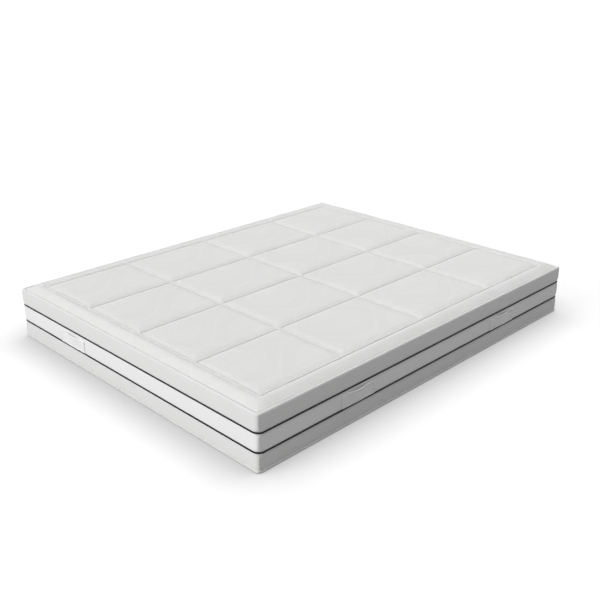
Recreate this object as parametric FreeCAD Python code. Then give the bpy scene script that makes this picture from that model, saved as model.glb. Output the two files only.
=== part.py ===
import FreeCAD, Part
import math
import os

# Memory foam mattress with a quilted, zipped cover.
# Frame: origin on the floor under the middle of the mattress, +Z up,
# X across the width, +Y towards the head end. Millimetres throughout.

# ---- Overall size ----
WIDTH = 1600.0  # face to face of the side borders
LENGTH = 2000.0  # face to face of the end borders
EDGE_HEIGHT = 232.0  # floor to the turned top edge of the border
CROWN_HEIGHT = 246.0  # floor to the top of the quilted panel
CORNER_RADIUS = 28.0  # the four upright corners, seen from above
EDGE_ROLL = 9.0  # rounding of the top and bottom edges
HEM_HEIGHT = 12.0  # how far the base fabric turns up the sides
EDGE_SEAM_INSET = 13.0  # border face to the seam round the top panel

# ---- Cover layers ----
FABRIC = 1.5
LINING = 4.5
BACKING = 1.0
BASE_WADDING = 6.0

# ---- Piping ----
PIPING_DIAMETER = 6.0
PIPING_CORD_DIAMETER = 4.0
PIPING_FLANGE = 1.0  # thickness of the sewn-in tape
LOWER_PIPING_Z = 79.0
UPPER_PIPING_Z = 157.0
PIPING_CLEARANCE = 0.2  # lining and zip tape to the round part of the piping

# ---- Foam core ----
BASE_FOAM = 130.0
TRANSITION_FOAM = 25.0
MEMORY_FOAM = 50.0
SLEEVE = 1.0
CORE_CLEARANCE = 0.5  # sleeve to the cover's lining, each side
CORE_CORNER_RADIUS = 20.0

# ---- Handles ----
HANDLE_LENGTH = 184.0
HANDLE_HEIGHT = 55.0
HANDLE_THICKNESS = 2.0
HANDLE_BOW = 8.0  # how far the slack middle stands off the border
HANDLE_SEWN_END = 35.0
HANDLE_LIFT = 2.0  # lower edge above the lower piping
HANDLE_PATCH = 1.0  # reinforcing patch behind each sewn end
SIDE_HANDLE_Y = 490.0
FOOT_HANDLE_X = -370.0

# ---- Zip in the head end ----
ZIP_LENGTH = 1500.0  # opening in the border
ZIP_Z = 141.0
ZIP_OPENING_BELOW = 14.0  # closing line down to the edge of the opening
HEM_WIDTH = 10.0
TAPE_THICKNESS = 0.8
TAPE_OVERLAP = 8.0  # tape past each end of the opening
COIL_GAP = 2.2  # between the two rows of coil
COIL_WIDTH = 2.0
COIL_DEPTH = 2.0
STOP_LENGTH = 3.0
COIL_END_INSET = 4.5  # coil ends inside the opening's ends
SLIDER_LENGTH = 14.0
SLIDER_WIDTH = 9.0
SLIDER_PLATE = 1.2
SLIDER_CLEARANCE = 0.4
SLIDER_END_CLEARANCE = 0.3
BRIDGE_WIDTH = 1.6
BRIDGE_LENGTH = 4.0
LOOP_WALL = 0.8
LOOP_WIDTH = 2.0
LOOP_TUNNEL_LENGTH = 2.0
LOOP_TUNNEL_HEIGHT = 1.8
PULL_LENGTH = 24.0
PULL_WIDTH = 7.0
PULL_THICKNESS = 1.0
PULL_PIN_DIAMETER = 1.2
PULL_SLOT_WIDTH = 3.0
PULL_SLOT_REACH = 3.6  # pivot to the far end of the slot

# ---- Derived levels and insets ----
HALF_WIDTH = WIDTH / 2
HALF_LENGTH = LENGTH / 2
PIPING_RADIUS = PIPING_DIAMETER / 2
WALL = FABRIC + LINING
UNDER_ROLL = EDGE_ROLL - FABRIC
TURNED_EDGE_Z = EDGE_HEIGHT - FABRIC
BASE_BACKING_Z = FABRIC + BASE_WADDING
SLEEVE_Z = BASE_BACKING_Z + BACKING
CORE_Z = SLEEVE_Z + SLEEVE
CORE_TOP_Z = CORE_Z + BASE_FOAM + TRANSITION_FOAM + MEMORY_FOAM
TOP_BACKING_Z = CORE_TOP_Z + SLEEVE
TOP_WADDING_Z = TOP_BACKING_Z + BACKING
PIPING_TUCK = PIPING_RADIUS + PIPING_CLEARANCE
HANDLE_Z = LOWER_PIPING_Z + PIPING_RADIUS + HANDLE_LIFT
ZIP_OPENING_Z = ZIP_Z - ZIP_OPENING_BELOW
TAPE_OUTER_Y = HALF_LENGTH - PIPING_TUCK
COIL_HALF_LENGTH = ZIP_LENGTH / 2 - COIL_END_INSET
SLIDER_X = -(COIL_HALF_LENGTH - SLIDER_LENGTH / 2 - SLIDER_END_CLEARANCE)
SLIDER_INNER_Y = TAPE_OUTER_Y - TAPE_THICKNESS - SLIDER_CLEARANCE - SLIDER_PLATE
SLIDER_OUTER_Y = TAPE_OUTER_Y + COIL_DEPTH + SLIDER_CLEARANCE
PULL_PIVOT_Y = SLIDER_OUTER_Y + SLIDER_PLATE + LOOP_TUNNEL_HEIGHT / 2

Z_AXIS = FreeCAD.Vector(0, 0, 1)


# ---- Shapes shared by many pieces ----
def box(x, y, z):
    """A block from three (low, high) pairs."""
    size = [high - low for low, high in (x, y, z)]
    return Part.makeBox(*size, FreeCAD.Vector(x[0], y[0], z[0]))


def centred_box(x, y, z, length, width, height):
    """A block about a centre point."""
    return box(
        (x - length / 2, x + length / 2),
        (y - width / 2, y + width / 2),
        (z - height / 2, z + height / 2),
    )


def plan_wire(inset, z, radius):
    """The mattress outline seen from above, moved in by inset, at height z."""
    hx, hy = HALF_WIDTH - inset, HALF_LENGTH - inset
    edges = []
    for sx, sy in ((1, -1), (1, 1), (-1, 1), (-1, -1)):
        centre = FreeCAD.Vector(sx * (hx - radius), sy * (hy - radius), z)
        middle = math.atan2(sy, sx)
        start, end = middle - math.pi / 4, middle + math.pi / 4
        points = [
            centre + FreeCAD.Vector(math.cos(a), math.sin(a), 0) * radius
            for a in (start, middle, end)
        ]
        if edges:
            edges.append(Part.LineSegment(last, points[0]).toShape())
        else:
            first = points[0]
        edges.append(Part.Arc(*points).toShape())
        last = points[2]
    edges.append(Part.LineSegment(last, first).toShape())
    return Part.Wire(edges)


def slab(inset, low, high, roll_top=0.0, roll_bottom=0.0, radius=None):
    """A block of the outline's shape between two heights, with rounded edges if asked."""
    radius = radius or CORNER_RADIUS - inset
    face = Part.Face(plan_wire(inset, low, radius))
    solid = face.extrude(Z_AXIS * (high - low))
    for roll, level in ((roll_top, high), (roll_bottom, low)):
        if roll:
            rim = [
                e
                for e in solid.Edges
                if abs(e.BoundBox.ZMin - level) < 1e-6 and abs(e.BoundBox.ZMax - level) < 1e-6
            ]
            solid = solid.makeFillet(roll, rim)
    return solid


def ring(outer, inner, low, high, **rolls):
    """A band between two insets."""
    return slab(outer, low, high, **rolls).cut(slab(inner, low - 1, high + 1))


def four_strips(band):
    """The band cut at its corners into right, head, left and foot strips."""
    reach = HALF_LENGTH * 2
    centre_x = HALF_LENGTH - HALF_WIDTH
    tips = {
        "right": ((-centre_x, 0), (1, -1), (1, 1)),
        "head": ((0, centre_x), (1, 1), (-1, 1)),
        "left": ((centre_x, 0), (-1, 1), (-1, -1)),
        "foot": ((0, -centre_x), (-1, -1), (1, -1)),
    }
    strips = {}
    for side, (tip, first, second) in tips.items():
        corners = [FreeCAD.Vector(tip[0], tip[1], 0)]
        for direction in (first, second):
            corners.append(
                FreeCAD.Vector(
                    tip[0] + direction[0] * reach, tip[1] + direction[1] * reach, 0
                )
            )
        wedge = Part.Face(Part.makePolygon(corners + corners[:1])).extrude(
            Z_AXIS * CROWN_HEIGHT
        )
        strips[side] = band.common(wedge)
    return strips


# ---- Core ----
def core_block(low, height):
    inset = WALL + CORE_CLEARANCE + SLEEVE
    return slab(inset, low, low + height, radius=CORE_CORNER_RADIUS)


def core_sleeve():
    """Knitted tube over the foam, open at the head and the foot."""
    outer = slab(WALL + CORE_CLEARANCE, SLEEVE_Z, TOP_BACKING_Z, radius=CORE_CORNER_RADIUS)
    inset = WALL + CORE_CLEARANCE + SLEEVE
    half_x = HALF_WIDTH - inset
    hollow = box((-half_x, half_x), (-HALF_LENGTH, HALF_LENGTH), (CORE_Z, CORE_TOP_Z))
    end = HALF_LENGTH - inset
    trimmed = box(
        (-HALF_WIDTH, HALF_WIDTH),
        (-(end - CORE_CORNER_RADIUS), end - CORE_CORNER_RADIUS),
        (SLEEVE_Z, TOP_BACKING_Z),
    )
    return outer.common(trimmed).cut(hollow)


# ---- Top and base panels ----
def border_filling(low):
    """Everything inside the upper border fabric from a height up to its turned edge."""
    return slab(FABRIC, low, TURNED_EDGE_Z, roll_top=UNDER_ROLL)


def top_wadding():
    lower = slab(WALL, TOP_WADDING_Z, TURNED_EDGE_Z).common(border_filling(TOP_WADDING_Z))
    crown = slab(
        EDGE_SEAM_INSET + FABRIC,
        TURNED_EDGE_Z,
        CROWN_HEIGHT - FABRIC,
        roll_top=CROWN_HEIGHT - EDGE_HEIGHT - FABRIC,
        radius=CORNER_RADIUS - EDGE_SEAM_INSET,
    )
    return lower.fuse(crown).removeSplitter()


def top_fabric():
    """Quilted face, domed from the edge seam to the crown."""
    return slab(
        EDGE_SEAM_INSET,
        TURNED_EDGE_Z,
        CROWN_HEIGHT,
        roll_top=CROWN_HEIGHT - EDGE_HEIGHT,
    ).cut(top_wadding())


def base_fabric():
    """Base panel with its edge turned up to the hem seam."""
    return slab(0, 0, HEM_HEIGHT, roll_bottom=EDGE_ROLL).cut(
        slab(FABRIC, FABRIC, HEM_HEIGHT + UNDER_ROLL, roll_bottom=UNDER_ROLL)
    )


def base_filling(top):
    """Everything inside the base fabric up to a height."""
    return slab(FABRIC, FABRIC, top, roll_bottom=UNDER_ROLL)


def base_wadding():
    cut = box(
        (-HALF_WIDTH, HALF_WIDTH),
        (-HALF_LENGTH, HALF_LENGTH),
        (BASE_BACKING_Z, LOWER_PIPING_Z),
    )
    return base_filling(LOWER_PIPING_Z / 2).cut(cut)


# ---- Border fabric ----
def upper_border():
    low = UPPER_PIPING_Z + PIPING_RADIUS
    outer = slab(0, low, EDGE_HEIGHT, roll_top=EDGE_ROLL)
    return outer.cut(border_filling(low - 1)).cut(
        slab(EDGE_SEAM_INSET, low, EDGE_HEIGHT + 1)
    )


def lower_border():
    return ring(0, FABRIC, HEM_HEIGHT, LOWER_PIPING_Z - PIPING_RADIUS)


def zip_opening(margin, low, outer_y):
    """The space cut for the zip in a head-end layer."""
    half = ZIP_LENGTH / 2 + margin
    return box((-half, half), (HALF_LENGTH - WALL - 1, outer_y + 1), (low, UPPER_PIPING_Z))


def middle_border():
    """One strip right round, hemmed round the zip opening."""
    low, high = LOWER_PIPING_Z + PIPING_RADIUS, UPPER_PIPING_Z - PIPING_RADIUS
    band = ring(0, FABRIC, low, high)
    half = ZIP_LENGTH / 2 + HEM_WIDTH
    hem = box(
        (-half, half), (TAPE_OUTER_Y, HALF_LENGTH - FABRIC), (ZIP_OPENING_Z - HEM_WIDTH, high)
    )
    opening = zip_opening(0, ZIP_OPENING_Z, HALF_LENGTH)
    return band.fuse(hem).cut(opening).removeSplitter()


# ---- Border lining ----
def upper_lining():
    low = UPPER_PIPING_Z + PIPING_FLANGE / 2
    tuck_top = UPPER_PIPING_Z + PIPING_TUCK
    body = border_filling(tuck_top).cut(slab(WALL, tuck_top - 1, CROWN_HEIGHT))
    return body.fuse(ring(PIPING_TUCK, WALL, low, tuck_top)).removeSplitter()


def lower_lining():
    high = LOWER_PIPING_Z - PIPING_FLANGE / 2
    tuck = LOWER_PIPING_Z - PIPING_TUCK
    below = box(
        (-HALF_WIDTH, HALF_WIDTH), (-HALF_LENGTH, HALF_LENGTH), (0, BASE_BACKING_Z)
    )
    body = base_filling(tuck).cut(slab(WALL, 0, CROWN_HEIGHT)).cut(below)
    return body.fuse(ring(PIPING_TUCK, WALL, tuck, high)).removeSplitter()


def middle_lining(patches):
    low = LOWER_PIPING_Z + PIPING_FLANGE / 2
    high = UPPER_PIPING_Z - PIPING_FLANGE / 2
    band = ring(PIPING_TUCK, WALL, low, high)
    band = band.fuse(
        ring(FABRIC, WALL, LOWER_PIPING_Z + PIPING_TUCK, UPPER_PIPING_Z - PIPING_TUCK)
    )
    opening = zip_opening(
        HEM_WIDTH + TAPE_OVERLAP, ZIP_OPENING_Z - HEM_WIDTH - TAPE_OVERLAP, HALF_LENGTH
    )
    band = band.cut(opening)
    for patch in patches:
        band = band.cut(patch)
    return band.removeSplitter()


# ---- Piping ----
def outline_tube(radius, z):
    """A round tube following the border face at height z."""
    spine = plan_wire(0, z, CORNER_RADIUS)
    start = spine.Edges[0].Vertexes[0].Point
    along = spine.Edges[0].tangentAt(spine.Edges[0].FirstParameter)
    section = Part.Wire(Part.makeCircle(radius, start, along))
    return spine.makePipeShell([section], True, False)


def piping_cord(z):
    return outline_tube(PIPING_CORD_DIAMETER / 2, z)


def piping_cover(z):
    """Bias tape wrapped round the cord, its flange sewn between the bands."""
    tube_wall = (PIPING_DIAMETER - PIPING_CORD_DIAMETER) / 2
    flange = ring(
        PIPING_RADIUS - tube_wall / 2, WALL, z - PIPING_FLANGE / 2, z + PIPING_FLANGE / 2
    )
    return outline_tube(PIPING_RADIUS, z).fuse(flange).cut(piping_cord(z))


# ---- Handles ----
def place_on_side(shape, turn, along):
    """Moves a shape made on the foot face to a side: turn in degrees, then along the face."""
    placed = shape.copy()
    reach = {0: HALF_LENGTH, 90: HALF_WIDTH, -90: HALF_WIDTH}[turn]
    placed.translate(FreeCAD.Vector(along, -reach, 0))
    placed.rotate(FreeCAD.Vector(0, 0, 0), Z_AXIS, turn)
    return placed


def handle_strap():
    """Strap sewn flat at both ends and bowed between them, outward along -Y."""
    end, bow = HANDLE_LENGTH / 2, HANDLE_LENGTH / 2 - HANDLE_SEWN_END

    def point(x, out):
        return FreeCAD.Vector(x, -out, HANDLE_Z)

    def arc(offset):
        return Part.Arc(
            point(-bow, offset), point(0, HANDLE_BOW + offset), point(bow, offset)
        ).toShape()

    def line(a, b):
        return Part.LineSegment(a, b).toShape()

    thick = HANDLE_THICKNESS
    outline = Part.Wire(
        [
            line(point(-end, 0), point(-bow, 0)),
            arc(0),
            line(point(bow, 0), point(end, 0)),
            line(point(end, 0), point(end, thick)),
            line(point(end, thick), point(bow, thick)),
            arc(thick),
            line(point(-bow, thick), point(-end, thick)),
            line(point(-end, thick), point(-end, 0)),
        ]
    )
    return Part.Face(outline).extrude(Z_AXIS * HANDLE_HEIGHT)


def handle_patches():
    """Two reinforcing patches between the border fabric and its lining."""
    end, inner = HANDLE_LENGTH / 2, HANDLE_LENGTH / 2 - HANDLE_SEWN_END
    depth = (FABRIC, FABRIC + HANDLE_PATCH)
    height = (HANDLE_Z, HANDLE_Z + HANDLE_HEIGHT)
    return Part.makeCompound([box((-end, -inner), depth, height), box((inner, end), depth, height)])


HANDLES = {
    "right_foot": (90, -SIDE_HANDLE_Y),
    "right_head": (90, SIDE_HANDLE_Y),
    "left_foot": (-90, SIDE_HANDLE_Y),
    "left_head": (-90, -SIDE_HANDLE_Y),
    "foot": (0, FOOT_HANDLE_X),
}


# ---- Zip ----
def zip_tape(side):
    """Woven tape above (side 1) or below (side -1) the closing line."""
    near = ZIP_Z + side * COIL_GAP / 2
    flange = UPPER_PIPING_Z - PIPING_FLANGE / 2
    far = flange if side > 0 else ZIP_OPENING_Z - HEM_WIDTH
    half = ZIP_LENGTH / 2 + TAPE_OVERLAP
    return box(
        (-half, half),
        (TAPE_OUTER_Y - TAPE_THICKNESS, TAPE_OUTER_Y),
        (min(near, far), max(near, far)),
    )


def zip_coil(side):
    centre = ZIP_Z + side * (COIL_GAP + COIL_WIDTH) / 2
    return centred_box(
        0, TAPE_OUTER_Y + COIL_DEPTH / 2, centre, 2 * COIL_HALF_LENGTH, COIL_DEPTH, COIL_WIDTH
    )


def zip_end_stops():
    width = COIL_GAP + 2 * COIL_WIDTH
    stops = [
        centred_box(
            side * (COIL_HALF_LENGTH + STOP_LENGTH / 2),
            TAPE_OUTER_Y + COIL_DEPTH / 2,
            ZIP_Z,
            STOP_LENGTH,
            COIL_DEPTH,
            width,
        )
        for side in (-1, 1)
    ]
    return Part.makeCompound(stops)


def zip_slider():
    """Two plates joined by a bridge between the coils, with a loop for the pull."""
    along = (SLIDER_X - SLIDER_LENGTH / 2, SLIDER_X + SLIDER_LENGTH / 2)
    across = (ZIP_Z - SLIDER_WIDTH / 2, ZIP_Z + SLIDER_WIDTH / 2)
    outer_face = SLIDER_OUTER_Y + SLIDER_PLATE
    body = box(along, (SLIDER_INNER_Y, SLIDER_INNER_Y + SLIDER_PLATE), across)
    body = body.fuse(box(along, (SLIDER_OUTER_Y, outer_face), across))
    rail = SLIDER_WIDTH / 2 - COIL_GAP / 2 - COIL_WIDTH - SLIDER_CLEARANCE
    for side in (-1, 1):
        edge = ZIP_Z + side * (SLIDER_WIDTH - rail) / 2
        rail_low = TAPE_OUTER_Y + SLIDER_CLEARANCE
        body = body.fuse(
            box(along, (rail_low, outer_face), (edge - rail / 2, edge + rail / 2))
        )
    bridge_y = (SLIDER_INNER_Y + outer_face) / 2
    body = body.fuse(
        centred_box(
            along[0] + BRIDGE_LENGTH / 2,
            bridge_y,
            ZIP_Z,
            BRIDGE_LENGTH,
            outer_face - SLIDER_INNER_Y,
            BRIDGE_WIDTH,
        )
    )
    loop_height = LOOP_TUNNEL_HEIGHT + LOOP_WALL
    loop = centred_box(
        SLIDER_X,
        outer_face + loop_height / 2,
        ZIP_Z,
        LOOP_TUNNEL_LENGTH + 2 * LOOP_WALL,
        loop_height,
        LOOP_WIDTH,
    )
    tunnel = centred_box(
        SLIDER_X, PULL_PIVOT_Y, ZIP_Z, LOOP_TUNNEL_LENGTH, LOOP_TUNNEL_HEIGHT, 2 * LOOP_WIDTH
    )
    return body.fuse(loop.cut(tunnel)).removeSplitter()


def zip_pull_tab():
    """Flat tab whose pin turns in the slider's loop."""
    start = PULL_PIN_DIAMETER / 2
    depth = (PULL_PIVOT_Y - PULL_THICKNESS / 2, PULL_PIVOT_Y + PULL_THICKNESS / 2)
    arms = box(
        (SLIDER_X, SLIDER_X + PULL_LENGTH),
        depth,
        (ZIP_Z - PULL_WIDTH / 2, ZIP_Z + PULL_WIDTH / 2),
    )
    slot = box(
        (SLIDER_X - start, SLIDER_X + PULL_SLOT_REACH),
        (depth[0] - 1, depth[1] + 1),
        (ZIP_Z - PULL_SLOT_WIDTH / 2, ZIP_Z + PULL_SLOT_WIDTH / 2),
    )
    tip = [e for e in arms.Edges if abs(e.BoundBox.XMin - SLIDER_X - PULL_LENGTH) < 1e-6]
    corners = [e for e in tip if abs(e.BoundBox.YLength - PULL_THICKNESS) < 1e-6]
    tab = arms.makeFillet(PULL_WIDTH / 3, corners).cut(slot)
    pin = Part.makeCylinder(
        PULL_PIN_DIAMETER / 2,
        PULL_WIDTH,
        FreeCAD.Vector(SLIDER_X, PULL_PIVOT_Y, ZIP_Z - PULL_WIDTH / 2),
        Z_AXIS,
    )
    return tab.fuse(pin).removeSplitter()


# ---- All the pieces ----
def all_pieces():
    memory_z = CORE_Z + BASE_FOAM + TRANSITION_FOAM
    pieces = {
        "base_foam": core_block(CORE_Z, BASE_FOAM),
        "transition_foam": core_block(CORE_Z + BASE_FOAM, TRANSITION_FOAM),
        "memory_foam": core_block(memory_z, MEMORY_FOAM),
        "core_sleeve": core_sleeve(),
        "top_fabric": top_fabric(),
        "top_wadding": top_wadding(),
        "top_backing": slab(WALL, TOP_BACKING_Z, TOP_WADDING_Z),
        "base_fabric": base_fabric(),
        "base_wadding": base_wadding(),
        "base_backing": slab(WALL, BASE_BACKING_Z, SLEEVE_Z),
        "middle_border": middle_border(),
        "upper_lining": upper_lining(),
        "lower_lining": lower_lining(),
        "zip_tape_upper": zip_tape(1),
        "zip_tape_lower": zip_tape(-1),
        "zip_coil_upper": zip_coil(1),
        "zip_coil_lower": zip_coil(-1),
        "zip_end_stops": zip_end_stops(),
        "zip_slider": zip_slider(),
        "zip_pull_tab": zip_pull_tab(),
    }
    for level, band in (("upper", upper_border()), ("lower", lower_border())):
        for side, strip in four_strips(band).items():
            pieces[f"{level}_border_{side}"] = strip
    for level, z in (("upper", UPPER_PIPING_Z), ("lower", LOWER_PIPING_Z)):
        pieces[f"{level}_piping_cover"] = piping_cover(z)
        pieces[f"{level}_piping_cord"] = piping_cord(z)
    for name, (turn, along) in HANDLES.items():
        pieces[f"{name}_handle"] = place_on_side(handle_strap(), turn, along)
        pieces[f"{name}_handle_backing"] = place_on_side(handle_patches(), turn, along)
    patches = [pieces[f"{name}_handle_backing"] for name in HANDLES]
    pieces["middle_lining"] = middle_lining(patches)
    return pieces


def main():
    os.makedirs("parts", exist_ok=True)
    for name, shape in sorted(all_pieces().items()):
        if not shape.isValid():
            raise ValueError(f"{name} is not a valid shape")
        shape.exportStep(f"parts/{name}.step")
        b = shape.BoundBox
        print(
            f"{name:28s} solids {len(shape.Solids)} volume {shape.Volume:14.1f}"
            f"  x {b.XMin:9.2f} {b.XMax:9.2f}  y {b.YMin:9.2f} {b.YMax:9.2f}"
            f"  z {b.ZMin:7.2f} {b.ZMax:7.2f}"
        )


main()
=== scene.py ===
"""Memory foam mattress: quilted top, piped side bands, strap handles and zip, on a plain studio floor."""

import math

import bpy
import numpy as np
from bpy.props import FloatProperty, FloatVectorProperty, IntProperty, PointerProperty
from mathutils import Matrix, Vector


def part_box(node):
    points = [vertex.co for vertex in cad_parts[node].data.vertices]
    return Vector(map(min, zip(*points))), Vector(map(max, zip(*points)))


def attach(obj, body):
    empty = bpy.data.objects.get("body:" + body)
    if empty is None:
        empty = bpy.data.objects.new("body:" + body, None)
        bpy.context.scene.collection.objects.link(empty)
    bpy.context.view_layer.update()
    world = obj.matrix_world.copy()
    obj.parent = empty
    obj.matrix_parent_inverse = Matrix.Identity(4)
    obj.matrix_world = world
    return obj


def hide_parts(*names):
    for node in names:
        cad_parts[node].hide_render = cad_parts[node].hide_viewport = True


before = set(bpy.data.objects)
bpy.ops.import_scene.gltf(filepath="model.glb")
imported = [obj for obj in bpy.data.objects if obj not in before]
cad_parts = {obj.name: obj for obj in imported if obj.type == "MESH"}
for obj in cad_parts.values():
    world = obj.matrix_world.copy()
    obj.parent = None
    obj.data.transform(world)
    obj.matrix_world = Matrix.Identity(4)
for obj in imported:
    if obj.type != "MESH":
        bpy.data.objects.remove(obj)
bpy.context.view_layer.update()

bl_info = {
    "name": "Memory Foam Mattress",
    "version": (1, 0, 0),
    "blender": (4, 5, 0),
    "location": "3D View > Sidebar > Mattress",
    "description": "Makes the fabric, quilting, piping, handles and zip of a foam mattress",
    "category": "Object",
}

BODY = "mattress"
MM = 0.001
SIDES = ("right", "head", "left", "foot")
SEAM_TURN = 15  # degrees from the middle of a corner to its upright seam

# Places read from the frame
LOW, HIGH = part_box("middle_border")
HALF_X, HALF_Y = HIGH.x, HIGH.y
BAND_LOW, BAND_HIGH = LOW.z, HIGH.z
LOWER_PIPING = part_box("lower_piping_cover")
UPPER_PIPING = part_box("upper_piping_cover")
PIPING_RADIUS = (UPPER_PIPING[1].z - UPPER_PIPING[0].z) / 2 * 1.1
EDGE_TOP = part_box("upper_border_right")[1].z
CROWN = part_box("top_fabric")[1].z
SEAM_INSET = HALF_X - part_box("top_fabric")[1].x
PANEL_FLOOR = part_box("top_backing")[1].z
HEM_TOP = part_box("base_fabric")[1].z
WALL = HALF_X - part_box("top_backing")[1].x
ZIP_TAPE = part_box("zip_tape_lower")


# ---------------------------------------------------------------- sizes and colours
def length(name, text, value, **more):
    return FloatProperty(name=name, description=text, default=value, unit="LENGTH", **more)


def colour(name, text, value):
    return FloatVectorProperty(
        name=name, description=text, default=value, subtype="COLOR", size=3, min=0, max=1
    )


class QuiltSizes(bpy.types.PropertyGroup):
    field_x: length("Field half width", "Middle to the side channel", 0.716)
    field_y: length("Field half length", "Middle to the end channel", 0.916)
    column_x: length("Column seam", "Middle to the outer column seam", 0.361)
    row_y: length("Row seam", "Middle to the outer row seam", 0.482)
    channel: length("Channel width", "Flat sewn strip between pads", 0.012)
    channel_depth: length("Channel depth", "Crown to the sewn strip", 0.0050)
    strip_height: length("Strip height", "Rise of the strip between two sewn lines", 0.0027)
    pad_corner: length("Pad corner", "Rounding of each pad seen from above", 0.010)
    shoulder: length("Pad shoulder", "How far in a pad reaches its full height", 0.031)
    roll_height: length("Roll height", "Rise of the padded rim above its inner channel", 0.0030)
    seam_drop: length("Edge seam drop", "Edge seam below the turned border", 0.0022)
    stitch: length("Stitch length", "One stitch and its gap", 0.006)


class BorderSizes(bpy.types.PropertyGroup):
    corner: length("Corner radius", "Upright corners seen from above", 0.028)
    edge_roll: length("Edge roll", "Rounding of the top and bottom edges", 0.007)
    fabric: length("Fabric", "Thickness of the border fabric", 0.0014)
    bulge: length("Bulge", "How far a band stands out between its seams", 0.0008)
    tuck: length("Tuck", "How far a band's edge turns into its seam", 0.0013)
    pucker: length("Pucker", "Height of the ripples beside the piping", 0.00010)
    step: length("Mesh step", "Column spacing along the sides", 0.006)


class HandleSizes(bpy.types.PropertyGroup):
    thickness: length("Thickness", "Strap thickness away from its rim", 0.0022)
    rim: length("Rim", "Extra thickness of the bound rim", 0.0020)
    rim_width: length("Rim width", "Width of the bound rim", 0.0042)
    sag: length("Sag", "How far the top edge drops in the middle", 0.0010)
    bow: length("Bow", "How far the slack top edge stands off the band", 0.0045)
    stitch_row: length("First stitch row", "Strap end to the first row", 0.020)
    stitch_row_inner: length("Second stitch row", "Strap end to the inner row", 0.038)


class FabricColours(bpy.types.PropertyGroup):
    cover: colour("Cover", "Quilted top and the outer bands", (0.72, 0.72, 0.715))
    middle: colour("Middle band", "Whiter knitted band and the straps", (0.80, 0.80, 0.797))
    piping: colour("Piping", "Dark bias tape", (0.005, 0.006, 0.009))
    metal: colour("Zip metal", "Slider, pull and stops", (0.62, 0.62, 0.63))
    coil: colour("Zip coil", "Nylon coil", (0.78, 0.78, 0.77))


class StageSizes(bpy.types.PropertyGroup):
    lens: FloatProperty(name="Lens", description="Focal length", default=50, unit="CAMERA")
    distance: length("Camera distance", "Camera to its aim point", 3.964)
    azimuth: FloatProperty(
        name="Azimuth", description="Camera turn", default=math.radians(44.91), subtype="ANGLE"
    )
    elevation: FloatProperty(
        name="Elevation", description="Camera tilt", default=math.radians(22.70), subtype="ANGLE"
    )
    key: FloatProperty(name="Key light", description="Strength of the key light", default=2.44)
    back: FloatProperty(name="Back light", description="Strength of the light behind", default=1.62)
    fill: FloatProperty(name="Fill", description="Strength of the even surround", default=0.20)
    floor_glow: FloatProperty(name="Floor glow", description="Lift of the floor to white", default=0.81)


GROUPS = {
    "mattress_quilt": QuiltSizes,
    "mattress_border": BorderSizes,
    "mattress_handle": HandleSizes,
    "mattress_colours": FabricColours,
    "mattress_stage": StageSizes,
}


def settings(name):
    return getattr(bpy.context.scene, "mattress_" + name)


# ---------------------------------------------------------------- shader expressions
class Value:
    """A number or shader socket that adds Math nodes when it is used in an expression."""

    def __init__(self, tree, socket):
        self.tree, self.socket = tree, socket

    def math(self, operation, *others, clamp=False):
        node = self.tree.nodes.new("ShaderNodeMath")
        node.operation, node.use_clamp = operation, clamp
        for i, item in enumerate((self, *others)):
            if isinstance(item, Value):
                self.tree.links.new(item.socket, node.inputs[i])
            else:
                node.inputs[i].default_value = item
        return Value(self.tree, node.outputs[0])

    def reflected(self, operation, other):
        node = self.math(operation, 0.0)
        source = node.socket.node
        self.tree.links.remove(source.inputs[0].links[0])
        source.inputs[0].default_value = other
        self.tree.links.new(self.socket, source.inputs[1])
        return node

    def __add__(self, other):
        return self.math("ADD", other)

    __radd__ = __add__

    def __mul__(self, other):
        return self.math("MULTIPLY", other)

    __rmul__ = __mul__

    def __sub__(self, other):
        return self.math("SUBTRACT", other)

    def __rsub__(self, other):
        return self.reflected("SUBTRACT", other)

    def __truediv__(self, other):
        return self.math("DIVIDE", other)

    def __abs__(self):
        return self.math("ABSOLUTE")

    def sin(self):
        return self.math("SINE")

    def cos(self):
        return self.math("COSINE")

    def power(self, exponent):
        return self.math("POWER", exponent)

    def fraction(self):
        return self.math("FRACT")

    def lesser(self, other):
        return self.math("MINIMUM", other)

    def off_line(self, spacing):
        """Distance to the nearest whole multiple of a spacing."""
        return abs(((self / spacing + 0.5).fraction() - 0.5) * spacing)

    def step(self, low, high):
        """0 below low, 1 above high, smooth between."""
        scaled = (self - low) * (1 / (high - low))
        t = scaled.math("ADD", 0.0, clamp=True)
        return t * t * (3 - 2 * t)


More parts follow.
